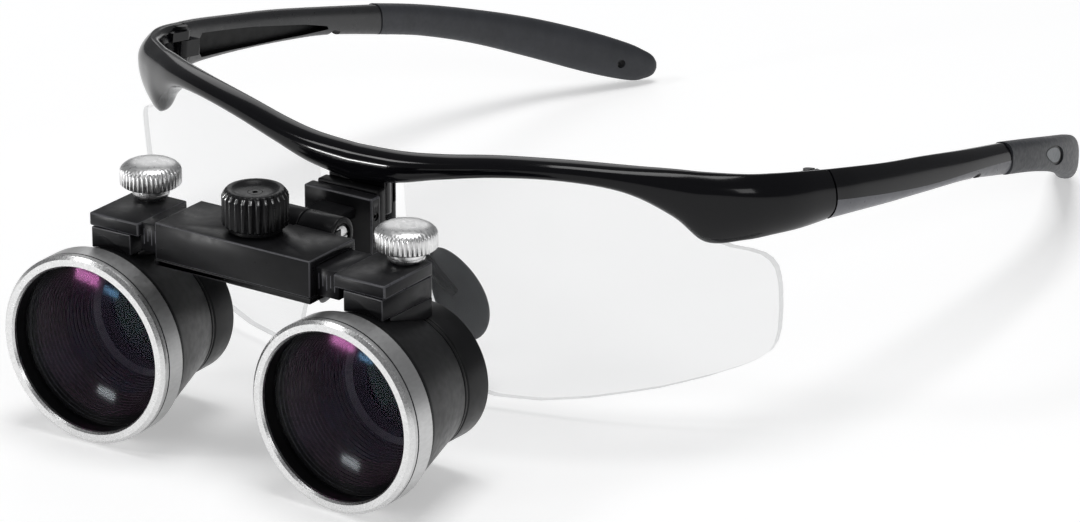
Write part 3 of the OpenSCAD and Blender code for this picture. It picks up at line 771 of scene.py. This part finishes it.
def temple_pieces():
    for name, side in SIDES:
        place = placed(side)
        rows = smooth(ARM, 8)
        arm = swept("temple_arm_" + name + "_shell", rows, place,
                    [GLOSS, SATIN_GREY_PAINTED_REFLECTION, SATIN_DARK, BAFFLE_BLACK],
                    paint=lambda i, a: arm_paint(a))
        notch = rod("notch", NOTCH_R, place(60, *NOTCH_YZ), place(80, *NOTCH_YZ))
        hollow = extruded("hollow", HOLLOW_OUTLINE, 60, 72.3, lambda u, v, w: place(
            w - 0.0009 * (u - 108) ** 2, u, 38.6 + v - 0.205 * (u - 89)),
            [BAFFLE_BLACK] * 4)
        for face in hollow.data.polygons:
            face.material_index = 3
        cut(arm, notch, hollow)
        about = on_hinge(side)
        knuckle = rod("knuckle", KNUCKLE_R, about(0, 0, -KNUCKLE_HALF), about(0, 0, KNUCKLE_HALF))
        root = box("root", (-KNUCKLE_R, KNUCKLE_R), (0, 3.6), (-KNUCKLE_HALF, KNUCKLE_HALF),
                   place=about)
        join(arm, knuckle, root)
        finish_piece(arm, "temple_" + name, "frame_gloss", "temple_arm_" + name)
        tip_rows = smooth(TIP, 8)
        tip = swept("temple_tip_" + name + "_soft", tip_rows, place, [TIP_RUBBER], sides=32,
                    inner=2.7, plain=2.7, sharp=60)
        hole = rod("hole", 0.9, place(*CORD_HOLE[0]), place(*CORD_HOLE[1]))
        cut(tip, hole, tip_window("window", place, 1, -0.9, 3))
        # Painted shade: this dark plate, larger than the inset, leaves a dark rim round it inside
        # the recess.
        floor = tip_window("floor", place, 1.05, -0.95, -0.5, [BAFFLE_BLACK])
        plate = tip_window("plate", place, 0.76, -0.85, -0.4, [TIP_PLATE])
        join_painted(tip, floor, plate)
        shade(tip, 60)
        finish_piece(tip, "temple_" + name, "tip_rubber", "temple_tip_" + name)


def arm_paint(angle):
    """The lower outer face is satin painted a lighter grey, a painted reflection of the floor;
    the inner face is dark satin.
    """
    if math.radians(285) < angle < math.radians(359.9):
        return 1
    return 2 if math.radians(110) < angle < math.radians(250) else 0


def tip_window(name, place, size, low, high, materials=()):
    """A pear-shaped prism on the outer face of a temple tip."""
    middle = Vector((67.3, 168.5, 21.2))
    along = Vector((-0.193, 0.93, -0.312))
    outward = Vector((0.979, 0.203, 0))
    upward = outward.cross(along)
    outline = []
    for k in range(40):
        angle = 2 * math.pi * k / 40
        u = 6.2 * math.cos(angle)
        v = 2.2 * math.sin(angle) * (0.81 + 0.19 * math.cos(angle))
        outline.append((u * size, (v - 0.06 * u) * size))
    return extruded(name, outline, low + WINDOW_DEPTH, high + WINDOW_DEPTH, lambda u, v, w: place(
        *(middle + along * u + upward * v + outward * w)), materials)


# ---------------------------------------------------------------- telescopes

def lens_face(radius, middle, curve, steps=LENS_FACE_STEPS):
    """Points of a lens face from its middle out; a positive curve bulges forwards."""
    points = []
    for k in range(steps + 1):
        r = radius * k / steps
        sag = abs(curve) - math.sqrt(curve ** 2 - r * r)
        points.append((r, middle + math.copysign(sag, curve)))
    return points


def ring_paint(stretch, _):
    """The front face and its bevels are bright; the groove's floor and rear wall are painted
    dark, a painted shade in the groove.
    """
    if stretch in (1, 2, 3, 4):
        return 1
    return 2 if stretch in (7, 8) else 0


def thread_profile():
    """The baffle's inner side from front to back, as a taper of V-shaped turns."""
    radius, start = THREAD_START
    profile = [(14.95, start)]
    for i in range(THREAD_TURNS):
        inner = radius - i * THREAD_TAPER
        along = start + i * THREAD_PITCH
        profile += [(inner, along), (inner - THREAD_DEPTH, along + THREAD_PITCH / 2)]
    return profile + [(9.6, 18.2), (10.9, 18.2)]


def thread_highlight_paint(stretch, _):
    """The rear flank of each turn is painted lighter, a painted highlight that draws the threads'
    bright arcs.
    """
    return 1 if stretch % 2 == 0 and 0 < stretch <= 2 * THREAD_TURNS else 0


def telescope_pieces():
    for name, side in SIDES:
        place = telescope(side)
        body = "optic_" + name
        ring = turned("front_ring_" + name + "_bevelled", RING_PROFILE, place,
                      [RING_SILVER, RING_BEVEL, GROOVE_SHADE], paint=ring_paint, sharp=25)
        finish_piece(ring, body, "silver_ring", "front_ring_" + name)
        shell = rounded(BARREL_PROFILE, 0.22)
        barrel = turned("barrel_" + name + "_shell", shell, place, [BARREL_BLACK], sharp=40)
        finish_piece(barrel, body, "barrel_black", "barrel_" + name)
        cell = rounded(CELL_PROFILE, 0.14)
        rear = turned("eyepiece_cell_" + name + "_shell", cell, place, [BARREL_BLACK], sharp=40)
        finish_piece(rear, body, "barrel_black", "eyepiece_cell_" + name)
        front = lens_face(15, 0.95, 50)
        back = lens_face(15, 7.0, -35)[::-1]
        glass = turned("objective_" + name + "_coated", front + back, place,
                       [OBJECTIVE, OBJECTIVE_BACK], closed=False, sharp=40,
                       paint=lambda i, _: 1 if i > LENS_FACE_STEPS else 0)
        finish_piece(glass, body, "coated_glass", "objective_" + name)
        front = lens_face(11.2, 8.0, 30)
        back = lens_face(11.2, 12.0, -45)[::-1]
        inner = turned("inner_lens_" + name + "_coated", front + back, place, [INNER_LENS],
                       closed=False, sharp=40)
        finish_piece(inner, body, "coated_glass")
        baffle = turned("light_baffle_" + name + "_threads", thread_profile(), place,
                        [BAFFLE_BLACK, BAFFLE_HIGHLIGHT], sharp=20, paint=thread_highlight_paint)
        finish_piece(baffle, body, "baffle_black", "light_baffle_" + name)
        front = lens_face(10.15, 23.2, -30, 8)
        back = lens_face(10.15, 24.9, 40, 8)[::-1]
        eye = turned("eyepiece_lens_" + name + "_coated", front + back, place, [EYEPIECE],
                     closed=False, sharp=40)
        finish_piece(eye, body, "coated_glass", "eyepiece_lens_" + name)


# ---------------------------------------------------------------- bridge

def knob_paint(stretch, share):
    """The crest of each land, between two flutes, takes a brighter metal."""
    return 1 if stretch == KNOB_CREST and 0.25 < share < 0.75 else 0


def knuckle_gap():
    """A cutter for the space between the housing's two tilt lugs."""
    return box("gap", (-3.8, 3.8), (20.5, 30), (30, 50))


def screw_pieces():
    for name, side in SIDES:
        head = turned("thumbscrew_" + name + "_head", THUMB_PROFILE, at, [POLISHED], flutes=40,
                      depth=0.34, upright=(side * SWIVEL_X, SWIVEL_Y), closed=False, sharp=50)
        shank = rod("shank", 1.5, at(side * SWIVEL_X, SWIVEL_Y, 30.8),
                    at(side * SWIVEL_X, SWIVEL_Y, 38.8))
        join(head, shank)
        shade(head, 50)
        finish_piece(head, "thumb_" + name, "polished_silver", "thumbscrew_" + name)
    knob = turned("pd_knob_fluted", KNOB_PROFILE, at, [KNOB_BLACK, BRIGHT_EDGE], flutes=26,
                  depth=0.55, upright=(0, PINION_Y), closed=False, sharp=40, paint=knob_paint)
    finish_piece(knob, "pd_drive", "knob_black", "pd_knob")


def housing_pieces():
    housing = box("bridge_housing_shell", HOUSING_X, HOUSING_Y, (33.42, 40.05),
                  [HOUSING_BLACK, EDGE_HIGHLIGHT])
    channel = box("channel", (-20, 20), (9.8, 20), (32, 38.7))
    gap = knuckle_gap()
    shaft = rod("shaft", 2.1, at(0, PINION_Y, 30), at(0, PINION_Y, 50))
    cut(housing, channel, gap, shaft)
    bevel(housing, 0.3, paint=1)
    lugs = []
    for name, side in SIDES:
        place = placed(side)
        near, far = TILT_BARREL_X
        barrel = rod("barrel", TILT_BARREL_R, place(near, TILT_Y, TILT_Z),
                     place(far, TILT_Y, TILT_Z), segments=64)
        bore = rod("bore", 2.4, place(10.4, TILT_Y, TILT_Z), place(20, TILT_Y, TILT_Z))
        cut(barrel, bore)
        bevel(barrel, 0.22, paint=1)
        root = box("root", TILT_BARREL_X, (20.2, TILT_Y), (34.7, 39.6), place=place)
        bevel(root, 0.2)
        lugs += [barrel, root]
        head = rod("tilt_pin_head_" + name, 1.9, place(10.42, TILT_Y, TILT_Z),
                   place(10.78, TILT_Y, TILT_Z), [POLISHED])
        slot = box("slot", (10.62, 12), (TILT_Y - 3, TILT_Y + 3), (TILT_Z - 0.25, TILT_Z + 0.25),
                   place=place)
        cut(head, slot)
        bevel(head, 0.12)
        finish_piece(head, "flip_bridge", "steel")
    join(housing, *lugs)
    shade(housing, 32)
    finish_piece(housing, "flip_bridge", "black_anodised", "bridge_housing")
    cover = box("housing_cover_plate", HOUSING_X, HOUSING_Y, (32.42, 33.41), [HOUSING_BLACK])
    gap = knuckle_gap()
    holes = [rod("hole", 0.9, at(x, 8.95, 30), at(x, 8.95, 32.9)) for x in (-14.8, 14.8)]
    cut(cover, gap, *holes)
    bevel(cover, 0.06, 2)
    finish_piece(cover, "flip_bridge", "black_anodised", "housing_cover")


def carriage_pieces():
    for name, side in SIDES:
        place = placed(side)
        tab = box("rack_bar_" + name + "_plate", (20.5, 31), (8.8, 22.6), (36.22, 38.58),
                  [BAR_BLACK, SCALE_MARK, EDGE_HIGHLIGHT], place)
        bevel(tab, 0.3, paint=2)
        front, back = 9.9, 19.9
        head = box("head", (15.6, 20.9), (front, back), (33.52, 38.58), place=place)
        bevel(head, 0.2, 2)
        join(tab, head, rack_strip(side), *scale_marks(front, place))
        finish_piece(tab, "slide_" + name, "bar_black", "rack_bar_" + name)
        lodge = telescope(side)
        block = box("swivel_block_" + name + "_body", BLOCK_X, (8.85, 22.55), (32.32, 36.08),
                    [BAR_BLACK, EDGE_HIGHLIGHT], lodge)
        cut(block, barrel_seat(lodge))
        bevel(block, 0.22, 2, paint=1)
        finish_piece(block, "optic_" + name, "bar_black", "swivel_block_" + name)
        saddle = box("barrel_saddle_" + name + "_body", BLOCK_X, (11.05, 22.55), (26.5, 32.28),
                     [BAR_BLACK, EDGE_HIGHLIGHT], lodge)
        cut(saddle, barrel_seat(lodge))
        bevel(saddle, 0.15, 2)
        finish_piece(saddle, "optic_" + name, "bar_black", "barrel_saddle_" + name)


def scale_marks(front, place):
    """Five fine lines, long and short in turn, on the front of a rack bar's head."""
    marks = []
    for k in range(5):
        start = TICK_X + TICK_STEP * k
        mark = box("tick", (start, start + 0.12), (front - 0.03, front + 0.1),
                   (35.4 if k % 2 else 34.8, 37.6), [BAR_BLACK, SCALE_MARK], place)
        for face in mark.data.polygons:
            face.material_index = 1
        marks.append(mark)
    return marks


def barrel_seat(place):
    """A cutter in the shape of the barrel that the blocks rest on."""
    return turned("seat", SEAT_PROFILE, place, [], segments=96, closed=False)


def rack_strip(side):
    """The toothed strip of a rack bar, behind the pinion on the left and ahead on the right."""
    inner, outer = RACK_X
    points = [(inner, RACK_ROOT)]
    for k in range(-4, 8):
        middle = (k + 0.5) * RACK_PITCH
        points += [(middle - 0.58, RACK_ROOT), (middle - 0.24, RACK_CREST),
                   (middle + 0.24, RACK_CREST), (middle + 0.58, RACK_ROOT)]
    points += [(outer, RACK_ROOT), (outer, RACK_BACK), (inner, RACK_BACK)]
    return extruded("rack", points, 33.55, 38.55,
                    lambda u, v, w: at(side * u, PINION_Y + side * v, w))


def mount_pieces():
    block = box("mount_block_body", (-7.2, 7.2), (38.3, 40.9), (27.05, 39.65),
                [BLOCK_BLACK, EDGE_HIGHLIGHT])
    bevel(block, 0.3, paint=1)
    arm = box("arm", (-3.65, 3.65), (24.4, 39.0), (35.5, 37.5))
    bevel(arm, 0.35)
    knuckle = rod("knuckle", TILT_BARREL_R, at(-3.65, TILT_Y, TILT_Z), at(3.65, TILT_Y, TILT_Z),
                  segments=64)
    bevel(knuckle, 0.22, paint=1)
    tongue = extruded("tongue", [(-2.6, 40.6), (2.6, 40.6), (3.6, 42.5), (-3.6, 42.5)],
                      27.05, 37.5, at)
    socket = rod("socket", 0.75, at(3.2, 39.6, 36.2), at(10, 39.6, 36.2))
    cut(block, socket)
    join(block, arm, knuckle, tongue)
    finish_piece(block, "height_slider", "black_anodised", "mount_block")
    rail = box("mount_rail_plate", (-6.35, 6.35), (41.1, 43.7), (24.55, 40.05), [PLASTIC_BLACK])
    groove = extruded("groove", [(-2.7, 40), (2.7, 40), (3.75, 42.65), (-3.75, 42.65)],
                      23, 39.3, at)
    cut(rail, groove)
    bevel(rail, 0.3, 2)
    finish_piece(rail, "frame", "satin_black", "mount_rail")


def small_nodes():
    """The CAD's own small pieces keep their shape and take a finer material."""
    finishes = {
        "rail_screws": STEEL, "temple_screw_left": KNOB_BLACK, "temple_screw_right": KNOB_BLACK,
        "clamp_screw": DARK_STEEL, "hinge_pin": STEEL, "cover_screws": STEEL,
        "knob_screw": DARK_STEEL, "pd_pinion": STEEL,
    }
    for name, finish in finishes.items():
        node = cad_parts[name]
        for slot in node.material_slots:
            slot.material = finish


# ---------------------------------------------------------------- studio

# Name, place, point that it faces, width, power in watts, and height if it isn't square
LAMPS = (
    ("top_light", (0.05, 0.02, 1.3), (0, 0, 0.02), 0.62, 8.0),
    ("key_light", (-0.7, -0.8, 0.9), (0, -0.05, 0.02), 0.25, 2.0),
    ("front_light", (-0.68, -1.09, 0.08), (0, -0.1, 0.02), 0.24, 4.6, 0.08),
    ("side_light", (0.9, -0.35, 0.5), (0, -0.05, 0.02), 0.3, 1.0),
    ("back_light", (-0.7, 0.97, 0.55), (0, 0, 0.03), 0.6, 1.0),
)
FLOOR_GLOW = 0.39
SKY_STRENGTH = 0.2
CAMERA_PLACE = Vector((0.49799, -0.74683, 0.35505))
CAMERA_TARGET = Vector((-0.00962, 0.00855, 0))
CAMERA_LENS = 173.96
CAMERA_ROLL = math.radians(0.14)


def studio():
    bpy.ops.mesh.primitive_plane_add(size=12, location=(0, 0, -0.0002))
    floor = bpy.context.object
    floor.name = "floor"
    pale = material("floor_pale", (0.8, 0.8, 0.8), 0.75, specular=0.2)
    shader = pale.node_tree.nodes["Principled BSDF"]
    shader.inputs["Emission Color"].default_value = (1, 1, 1, 1)
    shader.inputs["Emission Strength"].default_value = FLOOR_GLOW
    vary_roughness(pale, texture(pale, 30), 0.68, 0.82)
    floor.data.materials.append(pale)
    world = bpy.data.worlds.new("studio")
    world.use_nodes = True
    sky = world.node_tree.nodes["Background"]
    sky.inputs["Color"].default_value = (0.97, 0.98, 1, 1)
    sky.inputs["Strength"].default_value = SKY_STRENGTH
    bpy.context.scene.world = world
    bpy.context.scene.view_settings.view_transform = "Standard"
    for settings in LAMPS:
        lamp(*settings)


def lamp(name, place, target, width, power_watts, height=None):
    """An area lamp, square unless it has a height of its own."""
    data = bpy.data.lights.new(name, "AREA")
    data.shape = "RECTANGLE"
    data.size = width
    data.size_y = height or width
    data.energy = power_watts
    obj = bpy.data.objects.new(name, data)
    obj.location = place
    obj.rotation_euler = (Vector(target) - Vector(place)).to_track_quat("-Z", "Y").to_euler()
    bpy.context.collection.objects.link(obj)


def camera():
    data = bpy.data.cameras.new("camera")
    data.sensor_width = 36
    data.lens = CAMERA_LENS
    data.clip_start = 0.01
    obj = bpy.data.objects.new("camera", data)
    look = (CAMERA_TARGET - CAMERA_PLACE).to_track_quat("-Z", "Y").to_matrix()
    obj.rotation_euler = (look @ Matrix.Rotation(CAMERA_ROLL, 3, "Z")).to_euler()
    obj.location = CAMERA_PLACE
    bpy.context.collection.objects.link(obj)
    bpy.context.scene.camera = obj


camera()
studio()
frame_pieces()
shield_piece()
nose_pieces()
temple_pieces()
telescope_pieces()
screw_pieces()
housing_pieces()
carriage_pieces()
mount_pieces()
small_nodes()
